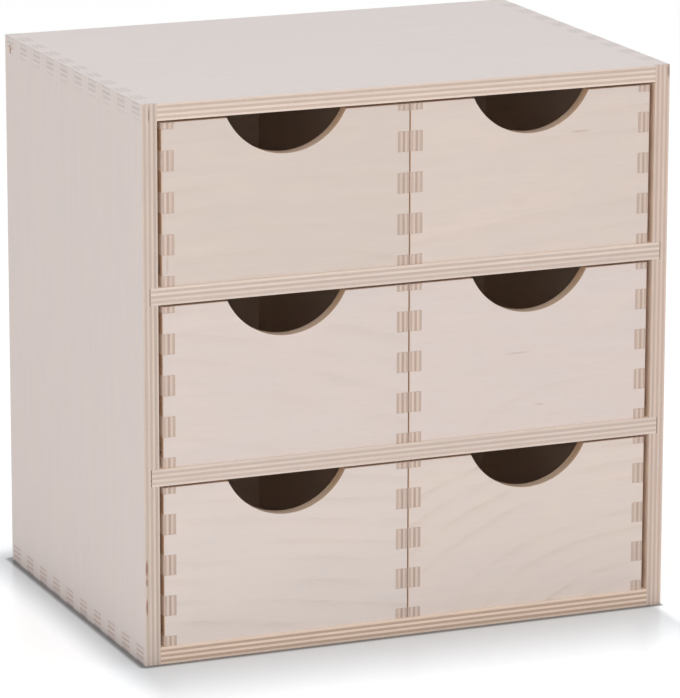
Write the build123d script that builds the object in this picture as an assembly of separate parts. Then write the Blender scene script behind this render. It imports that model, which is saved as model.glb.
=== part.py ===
from build123d import *

import os

# Desktop chest of six mini drawers in box-jointed birch plywood, in millimetres.
# The origin is the middle of the chest's underside. X runs right, Y runs back, Z up.

# Case: the outside size, the boards and the thin panels. The sides are sanded thinner.
CASE_WIDTH = 285.0
CASE_DEPTH = 205.0
CASE_HEIGHT = 285.0
CASE_PLY = 8.7
SIDE_PLY = 8.0
THIN_PLY = 3.0

# Box joints: bands of one width, with a part band where each row starts.
FINGER = 10.5
CASE_FIRST_BAND = 2.75
DRAWER_FIRST_BAND = 3.3

# Shelves: let into dadoes in the case's sides.
DADO_DEPTH = 4.4
SHELF_END_GAP = 0.4

# Back panel: held in a groove all round, clear of the groove's floor.
BACK_INSET = 6.3
CASE_GROOVE_DEPTH = 4.3
PANEL_EDGE_GAP = 0.3
GROOVE_STOP = 4.0

# Drawers: the walls, their running gaps and the bottom panel's groove.
DRAWER_PLY = 6.5
SIDE_GAP = 2.4
MIDDLE_GAP = 0.4
HEAD_GAP = 1.3
FRONT_RECESS = 1.0
REAR_GAP = 0.5
CORNER_CHAMFER = 0.4
BOTTOM_LIFT = 7.0
DRAWER_GROOVE_DEPTH = 3.2

# Finger cut-out: an arc across the top edge of each drawer front.
SCOOP_WIDTH = 63.0
SCOOP_DEPTH = 20.0

# Drawer places: rows from the bottom up, columns from the left.
ROWS = ["bottom", "middle", "top"]
COLUMNS = ["left", "right"]

# Sizes that follow from the ones above.
HALF_WIDTH = CASE_WIDTH / 2
HALF_DEPTH = CASE_DEPTH / 2
INNER_HALF_WIDTH = HALF_WIDTH - SIDE_PLY
LID_UNDERSIDE = CASE_HEIGHT - CASE_PLY
BAY_HEIGHT = (CASE_HEIGHT - (len(ROWS) + 1) * CASE_PLY) / len(ROWS)
BAY_PITCH = BAY_HEIGHT + CASE_PLY
BACK_REAR = HALF_DEPTH - BACK_INSET
BACK_FRONT = BACK_REAR - THIN_PLY
DRAWER_WIDTH = INNER_HALF_WIDTH - SIDE_GAP - MIDDLE_GAP / 2
DRAWER_HEIGHT = BAY_HEIGHT - HEAD_GAP
DRAWER_FACE = FRONT_RECESS - HALF_DEPTH
DRAWER_LENGTH = BACK_FRONT - REAR_GAP - DRAWER_FACE
DRAWER_OFFSET = (DRAWER_WIDTH + MIDDLE_GAP) / 2
SCOOP_RADIUS = (SCOOP_WIDTH**2 / 4 + SCOOP_DEPTH**2) / (2 * SCOOP_DEPTH)


def block(x, y, z):
    """A block between two values along each axis."""
    size = Box(x[1] - x[0], y[1] - y[0], z[1] - z[0])
    return Pos(sum(x) / 2, sum(y) / 2, sum(z) / 2) * size


def joint_bands(length, first_band):
    """Start and end of each band of a box joint, along an edge of this length."""
    cuts = [0.0]
    place = first_band
    while place < length:
        cuts.append(place)
        place += FINGER
    cuts.append(length)
    return list(zip(cuts, cuts[1:]))


def jointed_board(length, width, sockets, depth):
    """A centred board with sockets in its two ends, at bands measured from its top edge."""
    row = Sketch()
    for start, end in sockets:
        middle = (start + end) / 2
        place = Pos((depth - length) / 2, width / 2 - middle)
        row += place * Rectangle(depth, end - start)
    return Rectangle(length, width) - row - mirror(row, about=Plane.YZ)


# ---- case ----

CASE_BANDS = joint_bands(CASE_DEPTH, CASE_FIRST_BAND)
SIDE_FINGERS = CASE_BANDS[0::2]
LID_FINGERS = CASE_BANDS[1::2]


def lid_board(floor_z):
    """Top or bottom board, with sockets for the fingers of both sides."""
    outline = jointed_board(CASE_WIDTH, CASE_DEPTH, SIDE_FINGERS, SIDE_PLY)
    return extrude(Pos(0, 0, floor_z) * outline, CASE_PLY)


def top_panel():
    """Top board. Its groove for the back panel runs out through both ends."""
    groove_z = (LID_UNDERSIDE, LID_UNDERSIDE + CASE_GROOVE_DEPTH)
    groove = block((-HALF_WIDTH, HALF_WIDTH), (BACK_FRONT, BACK_REAR), groove_z)
    return lid_board(LID_UNDERSIDE) - groove


def bottom_panel():
    """Bottom board. Its groove for the back panel stops inside the sides."""
    reach = INNER_HALF_WIDTH + GROOVE_STOP
    groove_z = (CASE_PLY - CASE_GROOVE_DEPTH, CASE_PLY)
    groove = block((-reach, reach), (BACK_FRONT, BACK_REAR), groove_z)
    return lid_board(0) - groove


def shelf_floor(shelf):
    """Height of a shelf's underside, counting the lower shelf as 1."""
    return shelf * BAY_PITCH


def left_side():
    """Side board with dadoes for the shelves and a groove for the back panel."""
    outline = jointed_board(CASE_HEIGHT, CASE_DEPTH, LID_FINGERS, CASE_PLY)
    upright = Plane(origin=(-HALF_WIDTH, 0, CASE_HEIGHT / 2), x_dir=(0, 0, 1), z_dir=(-1, 0, 0))
    board = extrude(upright * outline, -SIDE_PLY)
    inner_face = -INNER_HALF_WIDTH
    for shelf in range(1, len(ROWS)):
        seat = (shelf_floor(shelf), shelf_floor(shelf) + CASE_PLY)
        board -= block((inner_face - DADO_DEPTH, inner_face), (-HALF_DEPTH, BACK_FRONT), seat)
    groove_x = (inner_face - CASE_GROOVE_DEPTH, inner_face)
    return board - block(groove_x, (BACK_FRONT, BACK_REAR), (0, CASE_HEIGHT))


def shelf_board(shelf):
    """Shelf from the case's front edge to the back panel, with its ends in the dadoes."""
    reach = INNER_HALF_WIDTH + DADO_DEPTH - SHELF_END_GAP
    seat = (shelf_floor(shelf), shelf_floor(shelf) + CASE_PLY)
    return block((-reach, reach), (-HALF_DEPTH, BACK_FRONT), seat)


def back_panel():
    """Thin back, with its four edges in the grooves."""
    lap = CASE_GROOVE_DEPTH - PANEL_EDGE_GAP
    reach = INNER_HALF_WIDTH + lap
    return block((-reach, reach), (BACK_FRONT, BACK_REAR), (CASE_PLY - lap, LID_UNDERSIDE + lap))


def case_parts():
    """Every board of the case by its node name."""
    left = left_side()
    return {
        "top_panel": top_panel(),
        "bottom_panel": bottom_panel(),
        "left_side": left,
        "right_side": mirror(left, about=Plane.YZ),
        "lower_shelf": shelf_board(1),
        "upper_shelf": shelf_board(2),
        "back_panel": back_panel(),
    }


# ---- drawers ----
# A drawer is drawn with X and Y measured from its middle and Z from its underside.

DRAWER_BANDS = joint_bands(DRAWER_HEIGHT, DRAWER_FIRST_BAND)
WALL_FINGERS = DRAWER_BANDS[0::2]
FRONT_FINGERS = DRAWER_BANDS[1::2]
HALF_DRAWER_WIDTH = DRAWER_WIDTH / 2
HALF_DRAWER_LENGTH = DRAWER_LENGTH / 2
BOTTOM_SPAN = (BOTTOM_LIFT, BOTTOM_LIFT + THIN_PLY)


def end_outline():
    """Outline of a drawer's front or back, with sockets for the side walls' fingers."""
    return jointed_board(DRAWER_WIDTH, DRAWER_HEIGHT, WALL_FINGERS, DRAWER_PLY)


def drawer_end(outline):
    """Front wall from its outline. Its bottom groove runs out through both ends."""
    upright = Plane(origin=(0, -HALF_DRAWER_LENGTH, DRAWER_HEIGHT / 2), x_dir=(1, 0, 0), z_dir=(0, -1, 0))
    board = extrude(upright * outline, -DRAWER_PLY)
    inner_face = DRAWER_PLY - HALF_DRAWER_LENGTH
    groove_y = (inner_face - DRAWER_GROOVE_DEPTH, inner_face)
    board -= block((-HALF_DRAWER_WIDTH, HALF_DRAWER_WIDTH), groove_y, BOTTOM_SPAN)
    corners = board.edges().filter_by(Axis.Z).group_by(Axis.Y)[0]
    ends = corners.filter_by(lambda edge: abs(edge.center().X) > HALF_DRAWER_WIDTH - 0.1)
    return chamfer(ends, CORNER_CHAMFER)


def drawer_front():
    """Front wall with the finger cut-out in its top edge."""
    scoop = Pos(0, DRAWER_HEIGHT / 2 - SCOOP_DEPTH + SCOOP_RADIUS) * Circle(SCOOP_RADIUS)
    return drawer_end(end_outline() - scoop)


def drawer_wall():
    """Left wall, with fingers at both ends and a groove for the bottom."""
    outline = jointed_board(DRAWER_LENGTH, DRAWER_HEIGHT, FRONT_FINGERS, DRAWER_PLY)
    upright = Plane(origin=(-HALF_DRAWER_WIDTH, 0, DRAWER_HEIGHT / 2), x_dir=(0, -1, 0), z_dir=(-1, 0, 0))
    board = extrude(upright * outline, -DRAWER_PLY)
    inner_face = DRAWER_PLY - HALF_DRAWER_WIDTH
    groove_x = (inner_face - DRAWER_GROOVE_DEPTH, inner_face)
    board -= block(groove_x, (-HALF_DRAWER_LENGTH, HALF_DRAWER_LENGTH), BOTTOM_SPAN)
    corners = board.edges().filter_by(Axis.Z).group_by(Axis.X)[0]
    ends = corners.filter_by(lambda edge: abs(edge.center().Y) > HALF_DRAWER_LENGTH - 0.1)
    return chamfer(ends, CORNER_CHAMFER)


def drawer_bottom():
    """Thin bottom, with its four edges in the walls' grooves."""
    lap = DRAWER_GROOVE_DEPTH - PANEL_EDGE_GAP
    reach_x = HALF_DRAWER_WIDTH - DRAWER_PLY + lap
    reach_y = HALF_DRAWER_LENGTH - DRAWER_PLY + lap
    return block((-reach_x, reach_x), (-reach_y, reach_y), BOTTOM_SPAN)


def drawer_parts():
    """The five boards of one drawer by name."""
    wall = drawer_wall()
    return {
        "front": drawer_front(),
        "back": mirror(drawer_end(end_outline()), about=Plane.XZ),
        "left_side": wall,
        "right_side": mirror(wall, about=Plane.YZ),
        "bottom": drawer_bottom(),
    }


def drawer_places():
    """Where each drawer stands in the case, by its name."""
    places = {}
    for row, row_name in enumerate(ROWS):
        for side, column_name in zip((-1, 1), COLUMNS):
            across = side * DRAWER_OFFSET
            along = DRAWER_FACE + HALF_DRAWER_LENGTH
            floor = CASE_PLY + row * BAY_PITCH
            places[f"{row_name}_{column_name}_drawer"] = Pos(across, along, floor)
    return places


def main():
    """Write one STEP file for each board."""
    nodes = case_parts()
    boards = drawer_parts()
    for drawer, place in drawer_places().items():
        for board, solid in boards.items():
            nodes[f"{drawer}_{board}"] = place * solid
    os.makedirs("parts", exist_ok=True)
    for node, solid in nodes.items():
        export_step(solid, f"parts/{node}.step")
    print(len(nodes), "nodes")


main()
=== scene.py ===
import math
from collections import namedtuple

import bpy
from mathutils import Matrix, Vector


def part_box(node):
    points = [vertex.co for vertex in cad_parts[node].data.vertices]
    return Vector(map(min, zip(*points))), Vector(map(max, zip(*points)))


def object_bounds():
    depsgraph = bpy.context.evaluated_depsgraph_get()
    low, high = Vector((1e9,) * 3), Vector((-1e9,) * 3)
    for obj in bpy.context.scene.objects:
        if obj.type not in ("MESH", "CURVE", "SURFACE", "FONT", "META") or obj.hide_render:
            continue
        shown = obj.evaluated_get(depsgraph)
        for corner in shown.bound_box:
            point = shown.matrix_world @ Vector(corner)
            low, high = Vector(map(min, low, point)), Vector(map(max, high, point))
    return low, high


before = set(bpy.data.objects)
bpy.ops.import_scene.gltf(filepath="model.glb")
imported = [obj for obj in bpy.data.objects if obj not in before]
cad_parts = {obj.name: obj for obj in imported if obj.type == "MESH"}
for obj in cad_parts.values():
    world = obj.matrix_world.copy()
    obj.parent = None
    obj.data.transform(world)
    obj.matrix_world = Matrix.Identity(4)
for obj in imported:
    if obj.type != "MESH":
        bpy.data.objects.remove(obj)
cad_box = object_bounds()

MM = 0.001
WHITE = (1, 1, 1, 1)
ONES = (1.0, 1.0, 1.0)

# ---- camera: fitted to the case's corners, in metres and degrees, its lens in millimetres ----

CAMERA_PLACE = (-0.95783, -2.31932, 0.75016)
CAMERA_HEADING = 22.5348
CAMERA_ELEVATION = -13.9651
CAMERA_ROLL = 0.1124
CAMERA_LENS = 255.691
CAMERA_SENSOR = 36
CAMERA_REACH = 50


def add_camera():
    """Camera at the photograph's place, from its heading, elevation and roll."""
    heading = math.radians(CAMERA_HEADING)
    elevation = math.radians(CAMERA_ELEVATION)
    roll = math.radians(CAMERA_ROLL)
    level = math.cos(elevation)
    ahead = Vector((math.sin(heading) * level, math.cos(heading) * level, math.sin(elevation)))
    right = ahead.cross(Vector((0, 0, 1))).normalized()
    up = right.cross(ahead)
    rolled_right = right * math.cos(roll) + up * math.sin(roll)
    rolled_up = up * math.cos(roll) - right * math.sin(roll)
    data = bpy.data.cameras.new("camera")
    data.lens = CAMERA_LENS
    data.sensor_width = CAMERA_SENSOR
    data.clip_end = CAMERA_REACH
    camera = bpy.data.objects.new("camera", data)
    bpy.context.scene.collection.objects.link(camera)
    turn = Matrix((rolled_right, rolled_up, -ahead)).transposed().to_4x4()
    camera.matrix_world = Matrix.Translation(CAMERA_PLACE) @ turn
    bpy.context.scene.camera = camera


# ---- small helpers for node trees ----


def feed(tree, socket, value):
    """Wire an output to this socket, or set its plain value."""
    if isinstance(value, bpy.types.NodeSocket):
        tree.links.new(value, socket)
    elif value is not None:
        socket.default_value = value


def maths(tree, operation, a, b=None, c=None):
    """One Math node. Its inputs are numbers or other nodes' outputs."""
    node = tree.nodes.new("ShaderNodeMath")
    node.operation = operation
    for socket, value in zip(node.inputs, (a, b, c)):
        feed(tree, socket, value)
    return node.outputs[0]


def product(tree, *factors):
    """Several numbers multiplied in turn."""
    result = factors[0]
    for factor in factors[1:]:
        result = maths(tree, "MULTIPLY", result, factor)
    return result


def summed(tree, start, *terms):
    """A start plus several numbers, each times its strength."""
    for value, strength in terms:
        start = maths(tree, "MULTIPLY_ADD", value, strength, start)
    return start


def vectors(tree, operation, a, b=None, c=None):
    """One Vector Math node."""
    node = tree.nodes.new("ShaderNodeVectorMath")
    node.operation = operation
    for socket, value in zip(node.inputs, (a, b, c)):
        feed(tree, socket, value)
    return node.outputs["Value" if operation == "LENGTH" else "Vector"]


def scaled(tree, vector, factor):
    """A vector or colour times a number."""
    node = tree.nodes.new("ShaderNodeVectorMath")
    node.operation = "SCALE"
    feed(tree, node.inputs["Vector"], vector)
    feed(tree, node.inputs["Scale"], factor)
    return node.outputs["Vector"]


def split(tree, vector):
    """The three parts of a vector."""
    node = tree.nodes.new("ShaderNodeSeparateXYZ")
    feed(tree, node.inputs[0], vector)
    return list(node.outputs)


def join(tree, x, y, z):
    """A vector from three numbers."""
    node = tree.nodes.new("ShaderNodeCombineXYZ")
    for socket, value in zip(node.inputs, (x, y, z)):
        feed(tree, socket, value)
    return node.outputs[0]


def ramp(tree, value, low, high, from_value=0.0, to_value=1.0):
    """Smooth step of a number between two limits."""
    node = tree.nodes.new("ShaderNodeMapRange")
    node.interpolation_type = "SMOOTHSTEP"
    for name, setting in (("Value", value), ("From Min", low), ("From Max", high)):
        feed(tree, node.inputs[name], setting)
    feed(tree, node.inputs["To Min"], from_value)
    feed(tree, node.inputs["To Max"], to_value)
    return node.outputs["Result"]


def blended(tree, factor, a, b):
    """Mix of two colours or vectors."""
    node = tree.nodes.new("ShaderNodeMix")
    node.data_type = "RGBA"
    feed(tree, node.inputs[0], factor)
    feed(tree, node.inputs[6], a)
    feed(tree, node.inputs[7], b)
    return node.outputs[2]


def tinted(tree, colour, amount, change):
    """A colour with its red, green and blue changed in proportion to an amount."""
    amounts = join(tree, amount, amount, amount)
    factors = vectors(tree, "MULTIPLY_ADD", amounts, change, ONES)
    return vectors(tree, "MULTIPLY", colour, factors)


def random_of(tree, number):
    """A steady random number from 0 to 1 for each whole number."""
    node = tree.nodes.new("ShaderNodeTexWhiteNoise")
    node.noise_dimensions = "1D"
    feed(tree, node.inputs["W"], number)
    return node.outputs["Value"]


# A kind of noise: how finely it varies along each axis, per millimetre, and its other settings.
Noise = namedtuple("Noise", "fineness detail roughness distortion", defaults=(2.0, 0.5, 0.0))


def noise(tree, place, kind):
    """Noise of one kind, from -1 to 1."""
    node = tree.nodes.new("ShaderNodeTexNoise")
    node.inputs["Scale"].default_value = 1.0
    node.inputs["Detail"].default_value = kind.detail
    node.inputs["Roughness"].default_value = kind.roughness
    node.inputs["Distortion"].default_value = kind.distortion
    feed(tree, node.inputs["Vector"], vectors(tree, "MULTIPLY", place, kind.fineness))
    return maths(tree, "MULTIPLY_ADD", node.outputs[0], 2.0, -1.0)


# ---- birch plywood ----
# Place and Facing are in the board's own axes: X along the face veneer's grain, Y across it
# and Z through the thickness from its low face. Lengths are in millimetres.

# Veneer layers: how far they wave, and a margin that keeps a face from counting as a new layer.
LAYER_SWAY = Noise((0.03, 0.03, 0.03), 1.0)
LAYER_WAVE = 0.08
LAYER_MARGIN = 0.1

# Steps that give each board, layer and ring a texture of its own.
SEED_STEP = (113.0, 71.0, 37.0)
LAYER_STEP = (29.0, 53.0, 3.0)
SEED_TONE_STEP = 17.0
SEED_RING_STEP = 31.0

# Where a cut counts as end grain and as a face, by how squarely it faces that way.
END_RANGE = (0.35, 0.9)
FACE_RANGE = (0.5, 0.9)
CORNER_RANGE = (-0.3, 0.3)
FACE_PLY_END = -0.35

# Textures along the grain of each layer.
FIBRE = Noise((0.045, 1.7, 1.7), 3.0, 0.65)
PORE = Noise((0.35, 5.0, 5.0), 1.0)
PORE_RANGE = (0.25, 0.60)
STREAK = Noise((0.012, 0.22, 0.22), 3.0, 0.6)
MOTTLE = Noise((0.030, 0.07, 0.07), 3.0, 0.5, 0.5)
SPECK = Noise((3.5, 3.5, 3.5))
DRIFT = Noise((0.05, 0.9, 0.9))

# Growth rings: their wander, where the late wood starts and stops in a ring, and what breaks it.
RING_SWAY = Noise((0.012, 0.05, 0.0), 3.0, 0.55)
RING_WANDER = 4.0
LATE_START = (0.50, 0.93)
LATE_STOP = (0.95, 1.0)
FADE = Noise((0.02, 0.04, 0.0), 1.0)
FADE_RANGE = (-0.35, 0.35)
FLECK = Noise((0.12, 0.9, 0.0), 3.0, 0.7)
FLECK_RANGE = (-0.35, 0.35)
FLECK_LEVELS = (0.30, 1.15)

# Glue lines: how far from a layer's middle they start, and what breaks them.
GLUE_RANGE = (0.40, 0.50)
GAP = Noise((0.06, 0.06, 0.9))
GAP_RANGE = (0.10, 0.55)
GAP_LEVELS = (0.12, 0.60)

# What each texture adds to the wood's brightness and hue, and the colours of the dark lines.
FIBRE_TONE = 0.040
FLECK_TONE = 0.022
STREAK_TONE = 0.030
MOTTLE_TONE = 0.038
PORE_TONE = -0.045
LAYER_TONE = 0.10
DRIFT_TONE = 0.09
SPECK_TONE = 0.10
MOTTLE_HUE = (0.010, -0.012, -0.040)
RING_STRENGTH = 0.45
RING_LINE = (0.50, 0.36, 0.26, 1)
GLUE_LINE = (0.30, 0.19, 0.13, 1)

# What each texture adds to the roughness, and to the surface's height for the bump.
ROUGHNESS = 0.50
END_ROUGHNESS = 0.16
FIBRE_ROUGHNESS = 0.06
MOTTLE_ROUGHNESS = 0.04
FIBRE_HEIGHT = 0.35
PORE_HEIGHT = -0.5
SPECK_HEIGHT = 0.6
GLUE_HEIGHT = -0.8
BUMP_STRENGTH = 0.6
BUMP_DEPTH = 0.08


def add_sockets(tree):
    """Inputs and outputs of the plywood group."""
    sockets = {
        "Vector": ["Place", "Facing", "Ring Centre"],
        "Float": ["Thickness", "Plies", "Face Ply", "Seed", "Ring Stretch", "Ring Step", "Ring Strength"],
        "Color": ["Low Face", "High Face", "End Light", "End Dark", "Edge Light", "Edge Dark"],
    }
    for kind, names in sockets.items():
        for name in names:
            tree.interface.new_socket(name, in_out="INPUT", socket_type=f"NodeSocket{kind}")
    for name, kind in (("Color", "Color"), ("Roughness", "Float"), ("Height", "Float")):
        tree.interface.new_socket(name, in_out="OUTPUT", socket_type=f"NodeSocket{kind}")


def veneer_layers(tree, given, depth):
    """Layer number, place within the layer and whether it is a face ply, which is thinner."""
    core = maths(tree, "MULTIPLY_ADD", given["Face Ply"], -2.0, given["Thickness"])
    pitch = maths(tree, "DIVIDE", core, maths(tree, "SUBTRACT", given["Plies"], 2.0))
    sway = noise(tree, given["Place"], LAYER_SWAY)
    wavy_depth = maths(tree, "MULTIPLY_ADD", sway, LAYER_WAVE, depth)
    level = maths(tree, "SUBTRACT", wavy_depth, given["Face Ply"])
    level = maths(tree, "ADD", maths(tree, "DIVIDE", level, pitch), 1.0)
    highest = maths(tree, "SUBTRACT", given["Plies"], LAYER_MARGIN)
    level = maths(tree, "MINIMUM", maths(tree, "MAXIMUM", level, LAYER_MARGIN), highest)
    from_middle = maths(tree, "ABSOLUTE", maths(tree, "MULTIPLY_ADD", given["Plies"], -0.5, level))
    core_edge = maths(tree, "MULTIPLY_ADD", given["Plies"], 0.5, -1.0)
    face_ply = maths(tree, "GREATER_THAN", from_middle, core_edge)
    return maths(tree, "FLOOR", level), maths(tree, "FRACT", level), face_ply


def growth_rings(tree, given, straight):
    """Late wood of the face veneers' rings: a thin darker line in each long oval."""
    from_centre = vectors(tree, "SUBTRACT", given["Place"], given["Ring Centre"])
    off_along, off_across, _ = split(tree, from_centre)
    off_along = maths(tree, "DIVIDE", off_along, given["Ring Stretch"])
    radius = vectors(tree, "LENGTH", join(tree, off_along, off_across, 0.0))
    sway = noise(tree, straight, RING_SWAY)
    radius = maths(tree, "MULTIPLY_ADD", sway, RING_WANDER, radius)
    ring = maths(tree, "DIVIDE", radius, given["Ring Step"])
    within = maths(tree, "FRACT", ring)
    number = maths(tree, "MULTIPLY_ADD", given["Seed"], SEED_RING_STEP, maths(tree, "FLOOR", ring))
    start = ramp(tree, within, *LATE_START)
    stop = ramp(tree, within, *LATE_STOP, 1.0, 0.0)
    fade = ramp(tree, noise(tree, straight, FADE), *FADE_RANGE)
    return product(tree, start, stop, random_of(tree, number), fade)


def plywood_group():
    """Solid texture of crossed veneers, with colour, roughness and surface height."""
    tree = bpy.data.node_groups.new("plywood", "ShaderNodeTree")
    add_sockets(tree)
    given = tree.nodes.new("NodeGroupInput").outputs
    result = tree.nodes.new("NodeGroupOutput").inputs
    along, across, depth = split(tree, given["Place"])
    facing_high = split(tree, given["Facing"])[2]
    facing = vectors(tree, "ABSOLUTE", given["Facing"])
    facing_along, facing_across, facing_out = split(tree, facing)
    on_face = ramp(tree, facing_out, *FACE_RANGE)
    on_edge = maths(tree, "SUBTRACT", 1.0, on_face)
    layer, within, face_ply = veneer_layers(tree, given, depth)
    crossed = maths(tree, "MODULO", layer, 2.0)

    # Grain direction: along the board in even layers, across it in odd ones.
    seed_shift = scaled(tree, SEED_STEP, given["Seed"])
    layer_shift = scaled(tree, LAYER_STEP, layer)
    shift = vectors(tree, "ADD", seed_shift, layer_shift)
    straight = vectors(tree, "ADD", join(tree, along, across, depth), shift)
    turned = vectors(tree, "ADD", join(tree, across, along, depth), shift)
    grain = blended(tree, crossed, straight, turned)
    end = ramp(tree, blended(tree, crossed, facing_along, facing_across), *END_RANGE)
    end = product(tree, end, maths(tree, "MULTIPLY_ADD", face_ply, FACE_PLY_END, 1.0))

    # Fibres, pores, soft figure and mottling.
    fibre = noise(tree, grain, FIBRE)
    pore = ramp(tree, noise(tree, grain, PORE), *PORE_RANGE)
    streak = noise(tree, grain, STREAK)
    mottle = noise(tree, grain, MOTTLE)
    speck = noise(tree, grain, SPECK)
    drift = noise(tree, grain, DRIFT)
    fleck = noise(tree, straight, FLECK)

    # Growth rings on the faces, and glue lines where the layers are cut through.
    flecks = ramp(tree, fleck, *FLECK_RANGE, *FLECK_LEVELS)
    rings = growth_rings(tree, given, straight)
    late = product(tree, rings, on_face, given["Ring Strength"], flecks)
    from_layer_middle = maths(tree, "ABSOLUTE", maths(tree, "SUBTRACT", within, 0.5))
    glue = ramp(tree, from_layer_middle, *GLUE_RANGE)
    gaps = ramp(tree, noise(tree, grain, GAP), *GAP_RANGE, *GAP_LEVELS)
    glue = product(tree, glue, gaps, on_edge)

    # Brightness.
    tones = [(fibre, FIBRE_TONE), (fleck, FLECK_TONE), (streak, STREAK_TONE)]
    tones += [(mottle, MOTTLE_TONE), (pore, PORE_TONE)]
    bright = summed(tree, 1.0, *tones)
    number = maths(tree, "MULTIPLY_ADD", given["Seed"], SEED_TONE_STEP, layer)
    layer_tone = maths(tree, "SUBTRACT", random_of(tree, number), 0.5)
    bright = maths(tree, "ADD", product(tree, layer_tone, LAYER_TONE, on_edge), bright)
    bright = summed(tree, bright, (product(tree, drift, on_edge), DRIFT_TONE))
    end_bright = summed(tree, bright, (speck, SPECK_TONE))

    # Colour: the two faces' own, then the light and dark plies of the ends and long edges.
    on_high = maths(tree, "GREATER_THAN", facing_high, 0.0)
    face_colour = blended(tree, on_high, given["Low Face"], given["High Face"])
    at_end = ramp(tree, maths(tree, "SUBTRACT", facing_along, facing_across), *CORNER_RANGE)
    light_ply = blended(tree, at_end, given["Edge Light"], given["End Light"])
    dark_ply = blended(tree, at_end, given["Edge Dark"], given["End Dark"])
    long_colour = scaled(tree, blended(tree, on_face, light_ply, face_colour), bright)
    colour = blended(tree, end, long_colour, scaled(tree, dark_ply, end_bright))
    colour = tinted(tree, colour, mottle, MOTTLE_HUE)
    colour = blended(tree, product(tree, late, RING_STRENGTH), colour, RING_LINE)
    colour = blended(tree, glue, colour, GLUE_LINE)
    feed(tree, result["Color"], colour)

    # Roughness and height.
    rough_terms = [(end, END_ROUGHNESS), (fibre, FIBRE_ROUGHNESS), (mottle, MOTTLE_ROUGHNESS)]
    feed(tree, result["Roughness"], summed(tree, ROUGHNESS, *rough_terms))
    height_terms = [(fibre, FIBRE_HEIGHT), (pore, PORE_HEIGHT)]
    height_terms += [(product(tree, speck, end), SPECK_HEIGHT), (glue, GLUE_HEIGHT)]
    feed(tree, result["Height"], summed(tree, 0.0, *height_terms))
    return tree


# A small mark in the wood: the middle and half size of its oval, in the board's millimetres.
Mark = namedtuple("Mark", "centre size colour strength")
MARK_RANGE = (0.35, 1.0)


def marked(tree, colour, place, marks):
    """Add small marks: streaks, knots and chips, each in an oval about its place."""
    for mark in marks:
        apart = vectors(tree, "SUBTRACT", place, mark.centre)
        apart = vectors(tree, "DIVIDE", apart, mark.size)
        apart = vectors(tree, "LENGTH", apart)
        amount = ramp(tree, apart, *MARK_RANGE, mark.strength, 0.0)
        colour = blended(tree, amount, colour, mark.colour)
    return colour


def plywood(node, grain_axis, stack, seed, look, rings, marks):
    """Plywood material for one board, in the axes of that board."""
    low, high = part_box(node)
    size = high - low
    depth_axis = min(range(3), key=lambda axis: size[axis])
    cross_axis = 3 - depth_axis - grain_axis
    order = (grain_axis, cross_axis, depth_axis)
    centre = (low + high) / 2
    material = bpy.data.materials.new(node)
    material.use_nodes = True
    tree = material.node_tree
    tree.nodes.clear()
    where = tree.nodes.new("ShaderNodeTexCoord")
    place = split(tree, where.outputs["Object"])
    normal = split(tree, where.outputs["Normal"])
    place = join(tree, *(place[axis] for axis in order))
    normal = join(tree, *(normal[axis] for axis in order))
    start = Vector((centre[grain_axis], centre[cross_axis], low[depth_axis]))
    place = vectors(tree, "SUBTRACT", place, start)
    place = scaled(tree, place, 1 / MM)
    wood = tree.nodes.new("ShaderNodeGroup")
    wood.node_tree = GROUP
    settings = {
        "Place": place,
        "Facing": normal,
        "Thickness": size[depth_axis] / MM,
        "Plies": stack.plies,
        "Face Ply": stack.face_ply,
        "Seed": seed,
        "Low Face": look.low,
        "High Face": look.high,
        "End Light": look.end_light,
        "End Dark": look.end_dark,
        "Edge Light": look.edge_light,
        "Edge Dark": look.edge_dark,
        "Ring Centre": (rings.along, rings.across, 0),
        "Ring Stretch": rings.stretch,
        "Ring Step": rings.step,
        "Ring Strength": rings.strength,
    }
    for socket, value in settings.items():
        feed(tree, wood.inputs[socket], value)
    bump = tree.nodes.new("ShaderNodeBump")
    bump.inputs["Strength"].default_value = BUMP_STRENGTH
    bump.inputs["Distance"].default_value = BUMP_DEPTH * MM
    shader = tree.nodes.new("ShaderNodeBsdfPrincipled")
    output = tree.nodes.new("ShaderNodeOutputMaterial")
    feed(tree, bump.inputs["Height"], wood.outputs["Height"])
    feed(tree, shader.inputs["Base Color"], marked(tree, wood.outputs["Color"], place, marks))
    feed(tree, shader.inputs["Roughness"], wood.outputs["Roughness"])
    feed(tree, shader.inputs["Normal"], bump.outputs["Normal"])
    feed(tree, output.inputs["Surface"], shader.outputs["BSDF"])
    return material


# ---- boards: plies, colours, the face veneer's rings and small marks ----

X, Y, Z = 0, 1, 2

Stack = namedtuple("Stack", "plies face_ply")
CASE_STACK = Stack(7, 1.15)
SIDE_STACK = Stack(7, 0.95)
DRAWER_STACK = Stack(5, 1.35)
THIN_STACK = Stack(3, 0.9)

# A board's colours: its low and high face, then a ply seen along its grain and one cut across it,
# at the board's ends and at its long edges.
Look = namedtuple("Look", "low high end_light end_dark edge_light edge_dark")
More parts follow.
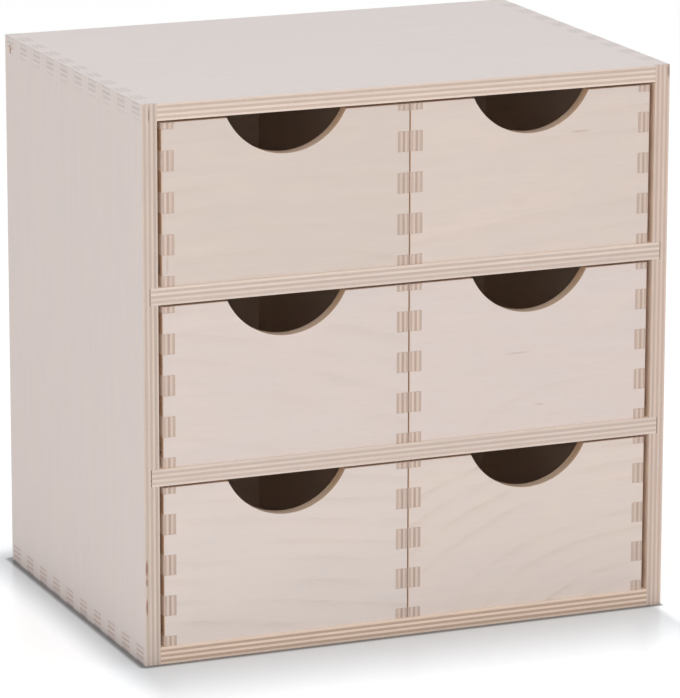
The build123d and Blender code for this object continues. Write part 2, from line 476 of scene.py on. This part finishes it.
# RAW is the bare wood. TOP_FACE, SIDE_FACE, FRONT_FACE and REAR_FACE, the outer faces, are partly their
# own tone and partly painted light: greyer than RAW as painted sheen, and the top bluer as painted light
# from above.
RAW = (0.835, 0.700, 0.585, 1)
WALL_FACE = (0.765, 0.635, 0.540, 1)
INNER_FACE = (0.780, 0.615, 0.490, 1)
TOP_FACE = (0.705, 0.635, 0.610, 1)
SIDE_FACE = (0.688, 0.596, 0.559, 1)
FRONT_FACE = (0.735, 0.622, 0.559, 1)
REAR_FACE = (0.735, 0.635, 0.570, 1)
TOP_LOOK = Look(
    low=RAW,
    high=TOP_FACE,
    end_light=(0.700, 0.615, 0.580, 1),
    end_dark=(0.600, 0.525, 0.490, 1),
    edge_light=(0.750, 0.615, 0.535, 1),
    edge_dark=(0.610, 0.475, 0.390, 1),
)
BOTTOM_LOOK = Look(
    low=REAR_FACE,
    high=RAW,
    end_light=(0.680, 0.580, 0.540, 1),
    end_dark=(0.540, 0.415, 0.375, 1),
    edge_light=(0.820, 0.630, 0.510, 1),
    edge_dark=(0.540, 0.380, 0.285, 1),
)
SHELF_LOOK = Look(
    low=RAW,
    high=RAW,
    end_light=(0.700, 0.600, 0.520, 1),
    end_dark=(0.570, 0.440, 0.370, 1),
    edge_light=(0.710, 0.590, 0.520, 1),
    edge_dark=(0.590, 0.465, 0.395, 1),
)
LEFT_LOOK = Look(
    low=SIDE_FACE,
    high=RAW,
    end_light=(0.685, 0.620, 0.600, 1),
    end_dark=(0.600, 0.540, 0.515, 1),
    edge_light=(0.650, 0.528, 0.450, 1),
    edge_dark=(0.530, 0.420, 0.355, 1),
)
RIGHT_LOOK = LEFT_LOOK._replace(
    low=INNER_FACE,
    high=SIDE_FACE,
    edge_light=(0.670, 0.530, 0.452, 1),
    edge_dark=(0.560, 0.425, 0.350, 1),
)
FRONT_LOOK = Look(
    low=FRONT_FACE,
    high=RAW,
    end_light=(0.620, 0.425, 0.290, 1),
    end_dark=(0.520, 0.345, 0.230, 1),
    edge_light=(0.680, 0.520, 0.405, 1),
    edge_dark=(0.520, 0.370, 0.270, 1),
)
REAR_WALL_LOOK = Look(
    low=RAW,
    high=REAR_FACE,
    end_light=(0.660, 0.500, 0.390, 1),
    end_dark=(0.520, 0.380, 0.290, 1),
    edge_light=(0.740, 0.600, 0.500, 1),
    edge_dark=(0.520, 0.390, 0.310, 1),
)
LEFT_WALL_LOOK = REAR_WALL_LOOK._replace(
    low=WALL_FACE,
    high=RAW,
    end_light=(0.655, 0.520, 0.440, 1),
    end_dark=(0.475, 0.345, 0.287, 1),
)
RIGHT_WALL_LOOK = LEFT_WALL_LOOK._replace(low=RAW, high=WALL_FACE)
BASE_LOOK = Look(RAW, RAW, RAW, RAW, RAW, RAW)
BACK_LOOK = BASE_LOOK._replace(high=REAR_FACE)

# A face veneer's rings: the middle of their ovals along and across the grain from the board's
# middle, how long the ovals are for their width, and one ring's width.
Rings = namedtuple("Rings", "along across stretch step strength")
PLAIN = Rings(0, -600, 8, 14, 0.12)
FRONT_RINGS = {
    "top_left": Rings(-14, -62, 3.0, 12, 0.35),
    "top_right": Rings(192, -144, 4.0, 12, 0.35),
    "middle_left": Rings(-241, -114, 3.0, 11, 0.45),
    "middle_right": Rings(40, -75, 1.5, 12, 0.35),
    "bottom_left": Rings(-267, -169, 4.0, 10, 0.65),
    "bottom_right": Rings(66, -60, 1.83, 9, 0.85),
}

# Each front's tone, as factors of the fronts' colour: its own tone, with painted shade that makes the
# upper fronts darker, where the lamps light them more.
FRONT_TONES_AND_SHADE = {
    "top_left": (0.905, 0.908, 0.902),
    "top_right": (0.950, 0.948, 0.944),
    "middle_left": (0.953, 0.968, 0.995),
    "middle_right": (0.970, 0.979, 1.008),
    "bottom_left": (0.990, 1.010, 1.030),
    "bottom_right": (1.000, 1.000, 1.000),
}

RED_BROWN = (0.42, 0.24, 0.16, 1)
DARK_BROWN = (0.20, 0.12, 0.08, 1)
DARK_RED = (0.28, 0.14, 0.10, 1)
FRONT_MARKS = {
    "top_left": [Mark((-63, -30, 0), (0.8, 6, 2), RED_BROWN, 0.30)],
    "top_right": [
        Mark((27, 20, 0), (7, 0.9, 2), RED_BROWN, 0.35),
        Mark((-6, -14, 0), (7, 4, 2), RED_BROWN, 0.06),
    ],
    "middle_right": [
        Mark((-6, 0, 0), (9, 0.7, 2), RED_BROWN, 0.28),
        Mark((6, -28, 0), (4, 0.7, 2), RED_BROWN, 0.25),
    ],
}
LEFT_MARKS = [
    Mark((137, -102.5, 3.7), (5, 3, 0.6), DARK_BROWN, 0.60),
    Mark((-92, -102.5, 1.0), (6, 3, 0.8), DARK_RED, 0.95),
    Mark((-99, -102.5, 1.0), (3, 3, 0.7), DARK_RED, 0.80),
    Mark((-112, -102.5, 1.0), (6, 3, 0.7), DARK_RED, 0.85),
]
RIGHT_MARKS = [Mark((139, -102.5, 7.2), (5, 3, 0.8), DARK_BROWN, 0.70)]

# Edges, in millimetres and degrees.
WELD_REACH = 0.001
FLAT_ANGLE = 0.5
ARRIS_WIDTH = 0.14
ARRIS_SEGMENTS = 2
ARRIS_ANGLE = 35


def soften(node):
    """Merge the tessellation into whole faces and ease the arrises."""
    weld = node.modifiers.new("weld", "WELD")
    weld.merge_threshold = WELD_REACH * MM
    faces = node.modifiers.new("whole faces", "DECIMATE")
    faces.decimate_type = "DISSOLVE"
    faces.angle_limit = math.radians(FLAT_ANGLE)
    arris = node.modifiers.new("arris", "BEVEL")
    arris.width = ARRIS_WIDTH * MM
    arris.segments = ARRIS_SEGMENTS
    arris.limit_method = "ANGLE"
    arris.angle_limit = math.radians(ARRIS_ANGLE)
    node.modifiers.new("normals", "WEIGHTED_NORMAL")


def dress_board(name, grain_axis, stack, seed, look, rings=PLAIN, marks=()):
    """Give a board its plywood and its eased edges."""
    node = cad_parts[name]
    node.data.materials.clear()
    node.data.materials.append(plywood(name, grain_axis, stack, seed, look, rings, marks))
    soften(node)


def dress_case():
    """Dress the seven boards of the case."""
    dress_board("top_panel", X, CASE_STACK, 1.3, TOP_LOOK)
    dress_board("bottom_panel", X, CASE_STACK, 2.3, BOTTOM_LOOK)
    dress_board("lower_shelf", X, CASE_STACK, 3.3, SHELF_LOOK)
    dress_board("upper_shelf", X, CASE_STACK, 4.3, SHELF_LOOK)
    dress_board("left_side", Z, SIDE_STACK, 5.3, LEFT_LOOK, PLAIN, LEFT_MARKS)
    dress_board("right_side", Z, SIDE_STACK, 6.3, RIGHT_LOOK, PLAIN, RIGHT_MARKS)
    dress_board("back_panel", X, THIN_STACK, 7.3, BACK_LOOK)


def toned_and_shaded(look, tone_and_shade):
    """A look with its low face times a tone, for the fronts their own tone and painted shade."""
    face = [level * part for level, part in zip(look.low, tone_and_shade)]
    return look._replace(low=(*face, 1))


def dress_drawers():
    """Dress the five boards of each drawer, with a seed of its own for each board."""
    seed = 10.0
    for place, rings in FRONT_RINGS.items():
        drawer = f"{place}_drawer"
        marks = FRONT_MARKS.get(place, ())
        # The front's tone darkens the upper fronts: painted shade, with the front's own tone.
        look = toned_and_shaded(FRONT_LOOK, FRONT_TONES_AND_SHADE[place])
        dress_board(f"{drawer}_front", X, DRAWER_STACK, seed + 0.1, look, rings, marks)
        dress_board(f"{drawer}_back", X, DRAWER_STACK, seed + 0.2, REAR_WALL_LOOK)
        dress_board(f"{drawer}_left_side", Y, DRAWER_STACK, seed + 0.3, LEFT_WALL_LOOK)
        dress_board(f"{drawer}_right_side", Y, DRAWER_STACK, seed + 0.4, RIGHT_WALL_LOOK)
        dress_board(f"{drawer}_bottom", Y, THIN_STACK, seed + 0.5, BASE_LOOK)
        seed += 1.0


# ---- floor, world and lamps, in metres and watts ----

FLOOR_HALF_SIZE = 6.0
FLOOR_WHITE = 0.95
FLOOR_ROUGHNESS = 0.25
FLOOR_GLOW = 0.27
WORLD_LEVEL = 0.50

# The painted soft shade on the floor: how far it reaches, at the left and back, in front, and at the
# right, where it starts under the chest. Then how deep it is in front and beside the chest.
SHADE_LEFT = 0.027
SHADE_FRONT = 0.092
SHADE_RIGHT = 0.008
DEPTH_IN_FRONT = 0.58
DEPTH_BESIDE = 0.515
CORNER_BLEND = 0.010

# The painted contact shadow, a dark line along the edges: where it starts to fade and has faded, how dark
# it is, and how many times thinner it is at the right.
CONTACT_SHADOW_RANGE = (0.0018, 0.0048)
CONTACT_SHADOW_LEVEL = 0.22
CONTACT_SHADOW_THINNER = 6.0

# The painted cooler tint near the chest, and how far it reaches as a factor of the shade's reach.
COOLING = (-0.06, 0.005, 0.055)
COOLING_REACH = 2.0

# Lamps: name, place, the point it faces, width, height and power.
LAMPS = [
    ("overhead", (0.2, -0.4, 1.9), (0, 0, 0.15), 2.0, 1.6, 12.5),
    ("key", (-1.6, -1.9, 0.95), (0, 0, 0.14), 1.6, 1.2, 12),
    ("front", (-0.4, -2.3, 0.5), (0, 0, 0.12), 1.2, 0.8, 7),
    ("left", (-2.2, -0.2, 1.0), (0, 0, 0.14), 1.6, 1.2, 6.5),
]


def seen_directly(tree):
    """1 for rays from the camera, and in reflections and through glass."""
    path = tree.nodes.new("ShaderNodeLightPath")
    seen = maths(tree, "MAXIMUM", path.outputs["Is Camera Ray"], path.outputs["Is Glossy Ray"])
    return maths(tree, "MAXIMUM", seen, path.outputs["Is Transmission Ray"])


def beyond(tree, place, edge):
    """How far a place lies past an edge of the chest, or 0."""
    return maths(tree, "MAXIMUM", maths(tree, "SUBTRACT", place, edge), 0.0)


def floor_material():
    """White floor, slightly glossy, with a painted close shade in front and at the left of the chest."""
    material = bpy.data.materials.new("floor")
    material.use_nodes = True
    tree = material.node_tree
    shader = tree.nodes["Principled BSDF"]
    where = tree.nodes.new("ShaderNodeTexCoord")
    across, back, _ = split(tree, where.outputs["Object"])
    low, high = cad_box
    to_left = beyond(tree, maths(tree, "MULTIPLY", across, -1.0), -low[0])
    to_right = beyond(tree, across, high[0])
    to_front = beyond(tree, maths(tree, "MULTIPLY", back, -1.0), -low[1])
    to_back = beyond(tree, back, high[1])

    # The painted shade reaches further in front than at the sides.
    past_right = beyond(tree, across, high[0] - SHADE_RIGHT)
    sideways = maths(tree, "DIVIDE", to_left, SHADE_LEFT)
    sideways = maths(tree, "MULTIPLY_ADD", past_right, 1 / SHADE_RIGHT, sideways)
    lengthways = maths(tree, "DIVIDE", to_front, SHADE_FRONT)
    lengthways = maths(tree, "MULTIPLY_ADD", to_back, 1 / SHADE_LEFT, lengthways)
    apart = vectors(tree, "LENGTH", join(tree, sideways, lengthways, 0.0))
    corner = (low[1] - CORNER_BLEND, low[1] + CORNER_BLEND)
    deepest = ramp(tree, back, *corner, DEPTH_IN_FRONT, DEPTH_BESIDE)
    painted_shade = ramp(tree, apart, 0.0, 1.0, deepest, 1.0)

    # A painted contact shadow, a thin dark line, follows the edges.
    sideways = maths(tree, "MULTIPLY_ADD", to_right, CONTACT_SHADOW_THINNER, to_left)
    lengthways = maths(tree, "ADD", to_front, to_back)
    from_edge = vectors(tree, "LENGTH", join(tree, sideways, lengthways, 0.0))
    contact_shadow = ramp(tree, from_edge, *CONTACT_SHADOW_RANGE, CONTACT_SHADOW_LEVEL, 1.0)
    painted_shade = product(tree, painted_shade, contact_shadow)

    # Painted cooler tint near the chest, against the warm light that the wood throws on it.
    near = ramp(tree, apart, 0.0, COOLING_REACH, 1.0, 0.0)
    colour = scaled(tree, tinted(tree, ONES, near, COOLING), painted_shade)
    feed(tree, shader.inputs["Base Color"], scaled(tree, colour, FLOOR_WHITE))
    feed(tree, shader.inputs["Roughness"], FLOOR_ROUGHNESS)
    feed(tree, shader.inputs["Emission Color"], WHITE)
    glow = product(tree, seen_directly(tree), FLOOR_GLOW, painted_shade)
    feed(tree, shader.inputs["Emission Strength"], glow)
    return material


def add_floor():
    """Floor at the chest's underside, large enough to fill every view."""
    mesh = bpy.data.meshes.new("floor")
    half = FLOOR_HALF_SIZE
    corners = [(-half, -half, 0), (half, -half, 0), (half, half, 0), (-half, half, 0)]
    mesh.from_pydata(corners, [], [(0, 1, 2, 3)])
    floor = bpy.data.objects.new("floor", mesh)
    bpy.context.scene.collection.objects.link(floor)
    mesh.materials.append(floor_material())


def add_world():
    """White studio: dimmer as a light than the camera and reflections see it."""
    world = bpy.data.worlds.new("studio")
    bpy.context.scene.world = world
    world.use_nodes = True
    tree = world.node_tree
    background = tree.nodes["Background"]
    background.inputs["Color"].default_value = WHITE
    strength = maths(tree, "MULTIPLY_ADD", seen_directly(tree), 1.0 - WORLD_LEVEL, WORLD_LEVEL)
    feed(tree, background.inputs["Strength"], strength)


def add_softbox(name, place, target, width, height, power):
    """Rectangular area lamp that faces a point."""
    data = bpy.data.lights.new(name, "AREA")
    data.shape = "RECTANGLE"
    data.size = width
    data.size_y = height
    data.energy = power
    lamp = bpy.data.objects.new(name, data)
    bpy.context.scene.collection.objects.link(lamp)
    lamp.location = place
    lamp.rotation_euler = (Vector(target) - Vector(place)).to_track_quat("-Z", "Y").to_euler()


# ---- make the scene ----

bpy.context.scene.view_settings.view_transform = "Standard"
bpy.context.scene.cycles.diffuse_bounces = 8
add_camera()
GROUP = plywood_group()
dress_case()
dress_drawers()
add_floor()
add_world()
for lamp in LAMPS:
    add_softbox(*lamp)
